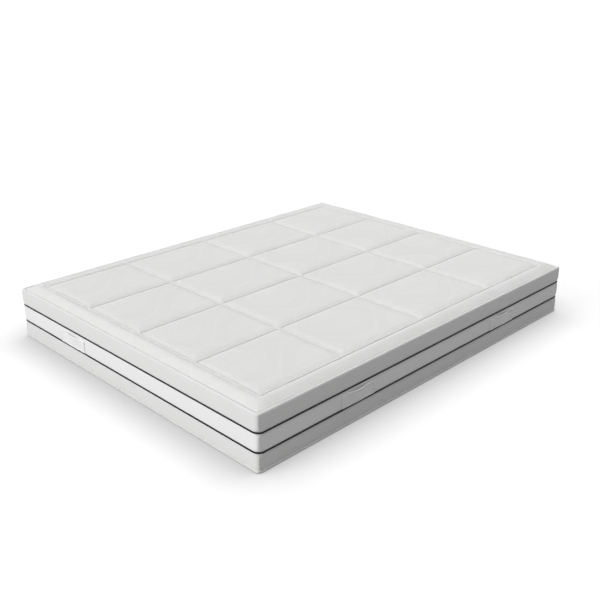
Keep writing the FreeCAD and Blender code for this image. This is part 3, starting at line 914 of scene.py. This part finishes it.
# ---------------------------------------------------------------- base
class MATTRESS_OT_base_panel(bpy.types.Operator):
    """Makes the base panel: flat underneath, its rolled edge turned up to the hem seam"""

    bl_idname = "mattress.base_panel"
    bl_label = "Base Panel"

    def execute(self, context):
        border = settings("border")
        anchors, normals, run, _ = loop_path(border.corner, border.step)
        outer = [(0.0030, HEM_TOP + 0.0010), (0.0010, HEM_TOP - 0.0003), (-0.0012, HEM_TOP - 0.0010),
                 (-0.0030, HEM_TOP - 0.0024), (-0.0038, HEM_TOP - 0.0046), (-0.0036, 0.0050),
                 (-0.0026, 0.0028), (-0.0008, 0.0012), (0.0016, 0.0003), (0.0045, 0.0),
                 (0.012, 0.0), (0.024, 0.0)]
        inner = [(0.024, 0.0085), (0.0062, 0.0085), (0.0062, HEM_TOP + 0.0012)]
        profile = np.array(outer)
        ripple = 0.00005 * waves(run[:, None], profile[None, :, 1] * 2, 0.05, 4)
        inset = profile[None, :, 0] - ripple * (profile[None, :, 1] > 0.002)
        height = np.repeat(profile[None, :, 1], len(run), 0)
        full_inset = np.concatenate([inset, np.repeat(np.array(inner)[None, :, 0], len(run), 0)], 1)
        full_height = np.concatenate([height, np.repeat(np.array(inner)[None, :, 1], len(run), 0)], 1)
        loose = 1 - np.clip(full_inset / SEAM_INSET, 0, 1)
        reach = border.corner - full_inset + corner_swell(normals, loose)
        points = np.concatenate(
            [anchors[:, None] + normals[:, None] * reach[:, :, None], full_height[:, :, None]], 2
        )
        rows, columns = full_inset.shape
        faces = grid_faces(rows, columns, ring_rows=True, ring_columns=True)
        gap = len(outer) - 1
        faces = [list(f) for f in faces if f[0] % columns != gap]
        faces.append([i * columns + gap for i in range(rows)])
        faces.append([i * columns + gap + 1 for i in reversed(range(rows))])
        panel = make_mesh("base_panel", points.reshape(-1, 3), faces)
        outward(panel)
        smooth(panel, 50)
        dress(panel, base_fabric(), ["base_fabric", "base_wadding", "base_backing"])
        return {"FINISHED"}


def base_fabric():
    """Plain woven base cloth in the piece's own coordinates."""
    tone = settings("colours").cover
    finish = Finish("base_fabric", Roughness=0.85, Sheen_Weight=0.06, Sheen_Roughness=0.5)
    (x, y, z), place = finish.place()
    weave = (x * (2 * math.pi / 0.003)).sin() * ((y + z) * (2 * math.pi / 0.003)).sin() * 0.5 + 0.5
    mottle = finish.noise(place, 240, 2.0, 0.6) - 0.5
    shade = weave * 0.03 + mottle * 0.07 + 0.975
    finish.feed(finish.shader.inputs["Base Color"], finish.tint((*tone,), shade))
    finish.bump(weave + mottle * 0.5, 0.0003, 0.5)
    return finish.material


# ---------------------------------------------------------------- handles
def strap_mesh(name, length_along, width, low, bow):
    """One strap on the foot side facing -Y, its middle at x = 0 and its back on the border face."""
    size = settings("handle")
    end = length_along / 2
    rim = size.rim_width
    along = np.unique(np.round(np.concatenate([
        [-end, end], -end + np.array([0.0006, 0.0016, 0.0028, rim, rim + 0.0009]),
        end - np.array([0.0006, 0.0016, 0.0028, rim, rim + 0.0009]), spread(-end + 0.007, end - 0.007, 0.0021),
        *[s * (end - r) + np.array([-0.0008, 0, 0.0008])
          for s in (-1, 1) for r in (size.stitch_row, size.stitch_row_inner)],
    ]), 5))
    half = width / 2
    across = np.unique(np.round(np.concatenate([
        [-half, half], -half + np.array([0.0006, 0.0016, 0.0028, rim, rim + 0.0009]),
        half - np.array([0.0006, 0.0016, 0.0028, rim, rim + 0.0009]), spread(-half + 0.007, half - 0.007, 0.0030),
    ]), 5))
    u, v = np.meshgrid(along, across, indexing="ij")
    slack = np.clip(1 - np.abs(u) / (end - size.stitch_row_inner), 0, 1)
    lift = bow * ease(slack * 1.3) * (0.2 + 0.8 * ((v + half) / width) ** 1.3)
    edge = -rounded_box(u, v, end, half, 0.003)
    round_rim = np.sqrt(np.clip(1 - ((edge - rim / 2) / (rim / 2)) ** 2, 0, 1))
    rim_height = np.where(edge < rim, round_rim, 0)
    thick = size.thickness * np.clip(edge / 0.0012, 0, 1) ** 0.5 + size.rim * rim_height
    thick = thick - 0.0005 * np.exp(-(((edge - rim - 0.0006) / 0.0009) ** 2))
    stitch = np.minimum(np.abs(np.abs(u) - end + size.stitch_row), np.abs(np.abs(u) - end + size.stitch_row_inner))
    thick = thick - 0.0009 * np.exp(-((stitch / 0.0011) ** 2)) * (edge > rim)
    thick = thick + 0.00035 * waves(u, v, 0.04, 6) * (edge > rim)
    thick = np.maximum(thick, 0.0003)
    seat = MIDDLE_BULGE - 0.0003
    drop = size.sag * ease(slack * 1.3)
    level = low + half + v - drop * ((v + half) / width) ** 1.5
    level = level + 0.0003 * waves(u, v * 0, 0.09, 3) * ease(slack * 3)
    front = np.stack([u, -HALF_Y - seat - lift - thick, level], 2).reshape(-1, 3)
    back = np.stack([u, -HALF_Y - seat - lift + 0.0002, level], 2).reshape(-1, 3)
    rows, columns = u.shape
    faces = grid_faces(rows, columns)
    count = rows * columns
    index = np.arange(count).reshape(rows, columns)
    loop = np.concatenate([index[:, 0], index[-1, 1:], index[-2::-1, -1], index[0, -2:0:-1]])
    sides = np.stack([loop, np.roll(loop, -1), np.roll(loop, -1) + count, loop + count], 1)
    everything = np.concatenate([faces, faces[:, ::-1] + count, sides])
    uv = np.tile(np.stack([u, v], 2).reshape(-1, 2), (2, 1))
    strap = make_mesh(name, np.concatenate([front, back]), everything, uv)
    sewn = strap.data.attributes.new("sewn", "FLOAT", "POINT")
    inner = np.abs(edge - rim - 0.0012)
    sewn.data.foreach_set("value", np.tile(np.minimum(stitch, inner).ravel(), 2).astype(np.float32))
    # painted highlight: the rim, which is also a whiter binding tape, and the stitch rows are lightened in the
    # colour
    bound_and_lit = strap.data.attributes.new("bound_and_lit", "FLOAT", "POINT")
    row_highlight = np.exp(-((stitch / 0.0022) ** 2)) * 0.7
    binding_and_highlight = np.maximum(ease((rim + 0.0004 - edge) / 0.0008), row_highlight)
    bound_and_lit.data.foreach_set("value", np.tile(binding_and_highlight.ravel(), 2).astype(np.float32))
    outward(strap)
    smooth(strap, 70)
    return strap


class MATTRESS_OT_handles(bpy.types.Operator):
    """Makes one strap handle, then copies it to its five places"""

    bl_idname = "mattress.handles"
    bl_label = "Handles"

    def execute(self, context):
        low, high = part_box("foot_handle")
        bow = settings("handle").bow
        first = strap_mesh("foot_strap", high.x - low.x, high.z - low.z, low.z, bow)
        fabric = strap_fabric()
        turns = {"foot": 0, "right": math.pi / 2, "left": -math.pi / 2}
        for node in ("right_foot", "right_head", "left_foot", "left_head", "foot"):
            strap = first if node == "foot" else first.copy()
            if node != "foot":
                strap.data = first.data.copy()
                strap.name = strap.data.name = node + "_strap"
                bpy.context.scene.collection.objects.link(strap)
            corner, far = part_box(node + "_handle")
            centre = (corner + far) / 2
            side = node.split("_")[0]
            turn = Matrix.Rotation(turns[side], 4, "Z")
            if side == "foot":
                place = Matrix.Translation((centre.x, 0, 0))
            else:
                inwards = (HALF_Y - HALF_X) * (1 if side == "left" else -1)
                place = Matrix.Translation((inwards, centre.y, 0))
            strap.data.transform(place @ turn)
            dress(strap, fabric, [node + "_handle", node + "_handle_backing"])
        return {"FINISHED"}


# ---------------------------------------------------------------- zip
def block(name, low, high, rounding, segments=2, upright=None):
    """A bevelled block between two corners; upright rounds its standing edges."""
    deselect()
    middle, size = (low + high) / 2, high - low
    bpy.ops.mesh.primitive_cube_add(size=1, location=middle)
    made = bpy.context.object
    made.name = made.data.name = name
    made.scale = size
    bpy.ops.object.transform_apply(location=True, rotation=True, scale=True)
    if upright:
        standing = [e for e in made.data.edges
                    if abs(made.data.vertices[e.vertices[0]].co.z - made.data.vertices[e.vertices[1]].co.z) > 1e-4]
        for part in (*made.data.vertices, *made.data.edges, *made.data.polygons):
            part.select = False
        for edge in standing:
            edge.select = True
        bpy.ops.object.mode_set(mode="EDIT")
        bpy.ops.mesh.select_mode(type="EDGE")
        bpy.ops.mesh.bevel(offset=upright, segments=8, affect="EDGES")
        bpy.ops.object.mode_set(mode="OBJECT")
    rounded = made.modifiers.new("Edges", "BEVEL")
    rounded.width, rounded.segments, rounded.limit_method = rounding, segments, "ANGLE"
    rounded.angle_limit = math.radians(40)
    bpy.ops.object.modifier_apply(modifier=rounded.name)
    smooth(made, 40)
    return made


class MATTRESS_OT_zip(bpy.types.Operator):
    """Makes the zip's woven tapes and its two rows of coil, and finishes the slider, pull and stops"""

    bl_idname = "mattress.zip"
    bl_label = "Zip"

    def execute(self, context):
        tones = settings("colours")
        tape_fabric = tape_finish()
        nylon = plain_finish("coil_nylon", tones.coil, 0.42, 900, 0.0001)
        metal = plain_finish("zip_metal", tones.metal, 0.3, 1400, 0.00005, Metallic=1.0)
        for row in ("upper", "lower"):
            low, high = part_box("zip_tape_" + row)
            tape = block(row + "_zip_tape", low, high, 0.0003)
            dress(tape, tape_fabric, ["zip_tape_" + row])
            low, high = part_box("zip_coil_" + row)
            coil = coil_row(row + "_zip_coil", low, high)
            dress(coil, nylon, ["zip_coil_" + row])
        for node in ("zip_slider", "zip_pull_tab", "zip_end_stops"):
            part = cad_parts[node]
            part.data.materials.clear()
            part.data.materials.append(metal)
        return {"FINISHED"}


def coil_row(name, low, high):
    """One row of coil: a small open turn of nylon, repeated along the tape."""
    pitch = 0.002
    deselect()
    bpy.ops.mesh.primitive_torus_add(
        location=(low.x + 0.001, (low.y + high.y) / 2, (low.z + high.z) / 2), rotation=(0, math.pi / 2, 0),
        major_segments=8, minor_segments=4, major_radius=0.00068, minor_radius=0.00032,
    )
    coil = bpy.context.object
    coil.name = coil.data.name = name
    bpy.ops.object.transform_apply(location=True, rotation=True, scale=True)
    bpy.ops.object.mode_set(mode="EDIT")
    bpy.ops.mesh.select_all(action="SELECT")
    centre = ((low.x + 0.001), (low.y + high.y) / 2, (low.z + high.z) / 2)
    bpy.ops.transform.rotate(value=math.radians(18), orient_axis="Z", center_override=centre)
    bpy.ops.object.mode_set(mode="OBJECT")
    row = coil.modifiers.new("Row", "ARRAY")
    row.count = int((high.x - low.x) / pitch)
    row.use_relative_offset, row.use_constant_offset = False, True
    row.constant_offset_displace = (pitch, 0, 0)
    bpy.ops.object.modifier_apply(modifier=row.name)
    smooth(coil, 60)
    return coil


def tape_finish():
    """Close herringbone tape in the piece's own coordinates."""
    tone = settings("colours").coil
    finish = Finish("zip_tape", Roughness=0.8, Sheen_Weight=0.05, Sheen_Roughness=0.5)
    (x, _, z), place = finish.place()
    weave = ((x + abs((z * 250).fraction() - 0.5) * 0.008) * (2 * math.pi / 0.0014)).sin() * 0.5 + 0.5
    mottle = finish.noise(place, 500, 2.0, 0.6)
    finish.feed(finish.shader.inputs["Base Color"], finish.tint((*tone,), weave * 0.08 + mottle * 0.1 + 0.88))
    finish.bump(weave, 0.0002, 0.7)
    return finish.material


# ---------------------------------------------------------------- inside the cover
class MATTRESS_OT_foam_core(bpy.types.Operator):
    """Makes the three foam layers and their knitted sleeve"""

    bl_idname = "mattress.foam_core"
    bl_label = "Foam Core"

    def execute(self, context):
        looks = (
            ("base_foam", (0.78, 0.76, 0.68), 0.003),
            ("transition_foam", (0.60, 0.70, 0.76), 0.003),
            ("memory_foam", (0.86, 0.84, 0.76), 0.004),
        )
        for node, tone, rounding in looks:
            low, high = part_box(node)
            layer = block(node + "_layer", low, high, rounding, 3, 0.020)
            dress(layer, foam_finish(node, tone), [node])
        low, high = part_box("core_sleeve")
        sleeve = block("knitted_sleeve", low, high, 0.002, 3)
        deselect()
        bpy.context.view_layer.objects.active = sleeve
        sleeve.select_set(True)
        for face in sleeve.data.polygons:
            face.select = abs(face.normal.y) > 0.3
        bpy.ops.object.mode_set(mode="EDIT")
        bpy.ops.mesh.delete(type="FACE")
        bpy.ops.object.mode_set(mode="OBJECT")
        wall = sleeve.modifiers.new("Knit", "SOLIDIFY")
        wall.thickness, wall.offset = 0.0008, -1
        bpy.ops.object.modifier_apply(modifier=wall.name)
        knitted = plain_finish("sleeve_knit", (0.85, 0.85, 0.85), 0.85, 600, 0.0002)
        dress(sleeve, knitted, ["core_sleeve"])
        return {"FINISHED"}


def foam_finish(name, tone):
    """Open cells on a cut foam face."""
    finish = Finish(name, Roughness=0.95)
    _, place = finish.place()
    cells = finish.node("TexVoronoi", Vector=place, Scale=700.0)
    pore = finish.value(cells.outputs["Distance"])
    cloudy = finish.noise(place, 12, 3.0)
    finish.feed(
        finish.shader.inputs["Base Color"], finish.tint(tone, pore * 0.16 + cloudy * 0.06 + 0.86)
    )
    finish.bump(pore, 0.0003, 0.8)
    return finish.material


class MATTRESS_OT_linings(bpy.types.Operator):
    """Makes the soft lining behind each band"""

    bl_idname = "mattress.linings"
    bl_label = "Linings"

    def execute(self, context):
        corner = settings("border").corner
        felt = plain_finish("lining_felt", (0.86, 0.86, 0.85), 0.95, 420, 0.0003)
        anchors, normals, run, _ = loop_path(corner, 0.05)
        for name in ("upper", "middle", "lower"):
            low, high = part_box(name + "_lining")
            outer, deep = 0.0034, WALL - 0.0004
            profile = np.array([(outer, low.z + 0.0008), (outer, high.z - 0.0008), (deep, high.z - 0.0008),
                                (deep, low.z + 0.0008)])
            inset = np.repeat(profile[None, :, 0], len(run), 0)
            height = np.repeat(profile[None, :, 1], len(run), 0)
            if name == "upper":
                height = np.minimum(height, PANEL_FLOOR - 0.0005)
            if name == "middle":
                outline = anchors + normals * corner
                cut = (normals[:, 1] > 0.999) & (np.abs(outline[:, 0]) < ZIP_HALF + 0.03)
                height = np.where(cut[:, None] & (height > 0.1), ZIP_SILL - 0.020, height)
            lining = loft(name + "_lining_felt", (anchors, normals, run), inset, height, corner, True)
            smooth(lining, 40)
            dress(lining, felt, [name + "_lining"])
        return {"FINISHED"}


# ---------------------------------------------------------------- stage
class MATTRESS_OT_stage(bpy.types.Operator):
    """Sets up the plain floor, the soft light and the camera"""

    bl_idname = "mattress.stage"
    bl_label = "Stage"

    def execute(self, context):
        size = settings("stage")
        scene = context.scene
        deselect()
        bpy.ops.mesh.primitive_plane_add(size=60, location=(0, 0, -0.0004))
        floor = context.object
        floor.name = "floor"
        floor.data.materials.append(floor_finish(size.floor_glow))
        for name, power, toward in (("key", size.key, KEY_FROM), ("back", size.back, BACK_FROM)):
            light = bpy.data.lights.new(name, "SUN")
            light.energy, light.angle = power, math.radians(40)
            lamp = bpy.data.objects.new(name, light)
            scene.collection.objects.link(lamp)
            lamp.rotation_euler = Vector(toward).to_track_quat("Z", "Y").to_euler()
        world = bpy.data.worlds.new("studio")
        scene.world = world
        world.use_nodes = True
        tree = world.node_tree
        rays = tree.nodes.new("ShaderNodeLightPath")
        background = tree.nodes["Background"]
        seen = Value(tree, rays.outputs["Is Camera Ray"]) + Value(tree, rays.outputs["Is Glossy Ray"])
        seen = (seen + Value(tree, rays.outputs["Is Transmission Ray"])).math("MINIMUM", 1.0)
        strength = seen * (1 - size.fill) + size.fill
        tree.links.new(strength.socket, background.inputs["Strength"])
        background.inputs["Color"].default_value = (1, 1, 1, 1)
        camera = bpy.data.objects.new("camera", bpy.data.cameras.new("camera"))
        scene.collection.objects.link(camera)
        camera.data.lens, camera.data.sensor_width = size.lens, 36
        turn, tilt = size.azimuth, size.elevation
        away = Vector((math.sin(turn) * math.cos(tilt), -math.cos(turn) * math.cos(tilt), math.sin(tilt)))
        camera.location = Vector(AIM) + away * size.distance
        camera.rotation_euler = away.to_track_quat("Z", "Y").to_euler()
        scene.camera = camera
        scene.view_settings.view_transform = "Standard"
        return {"FINISHED"}


AIM = (0.010, -0.008, 0.120)
KEY_FROM = (-0.26, -0.66, 0.33)
BACK_FROM = (0.0, 0.22, 0.49)


def floor_finish(glow):
    """White to the camera apart from the object's shadow, partly real from the lamps and partly painted shadow from
    ambient occlusion near the object, and pale to everything else.
    """
    finish = Finish("floor", Roughness=1.0, Specular_IOR_Level=0.0)
    tree = finish.tree
    rays = finish.node("LightPath")
    seen = finish.value(rays.outputs["Is Camera Ray"]) + finish.value(rays.outputs["Is Glossy Ray"])
    seen = (seen + finish.value(rays.outputs["Is Transmission Ray"])).math("MINIMUM", 1.0)
    tone = finish.value(seen.socket) * (0.22 - 0.34) + 0.34
    finish.feed(finish.shader.inputs["Base Color"], finish.tint((1, 1, 1), tone))
    # painted shadow: near the object the floor's glow seen by the camera is dimmed by ambient occlusion, on top of
    # the real shadow from the lamps
    near = finish.node("AmbientOcclusion", {"samples": 24}, Distance=0.22)
    open_sky = finish.value(near.outputs["AO"])
    strength = seen * (open_sky * (glow * 0.86) + (glow * 0.14 - 0.18)) + 0.18
    glowing = finish.node("Emission", Color=(1, 1, 1, 1), Strength=strength)
    both = finish.node("AddShader", None, i0=finish.shader.outputs[0], i1=glowing.outputs[0])
    output = tree.nodes["Material Output"]
    tree.links.new(both.outputs[0], output.inputs["Surface"])
    return finish.material


# ---------------------------------------------------------------- panel and registration
STEPS = (
    MATTRESS_OT_top_quilt,
    MATTRESS_OT_upper_bands,
    MATTRESS_OT_middle_band,
    MATTRESS_OT_lower_bands,
    MATTRESS_OT_piping,
    MATTRESS_OT_base_panel,
    MATTRESS_OT_handles,
    MATTRESS_OT_zip,
    MATTRESS_OT_foam_core,
    MATTRESS_OT_linings,
    MATTRESS_OT_stage,
)


class MATTRESS_PT_panel(bpy.types.Panel):
    """Lists the steps that make the mattress"""

    bl_idname = "MATTRESS_PT_panel"
    bl_label = "Memory Foam Mattress"
    bl_space_type = "VIEW_3D"
    bl_region_type = "UI"
    bl_category = "Mattress"

    def draw(self, context):
        for step in STEPS:
            self.layout.operator(step.bl_idname)


def register():
    for group in (*GROUPS.values(), *STEPS, MATTRESS_PT_panel):
        bpy.utils.register_class(group)
    for name, group in GROUPS.items():
        setattr(bpy.types.Scene, name, PointerProperty(type=group))


def unregister():
    for name in GROUPS:
        delattr(bpy.types.Scene, name)
    for group in (MATTRESS_PT_panel, *reversed(STEPS), *GROUPS.values()):
        bpy.utils.unregister_class(group)


def main():
    register()
    for step in STEPS:
        family, name = step.bl_idname.split(".")
        getattr(getattr(bpy.ops, family), name)()
    bpy.context.view_layer.update()


if __name__ == "__main__":
    main()
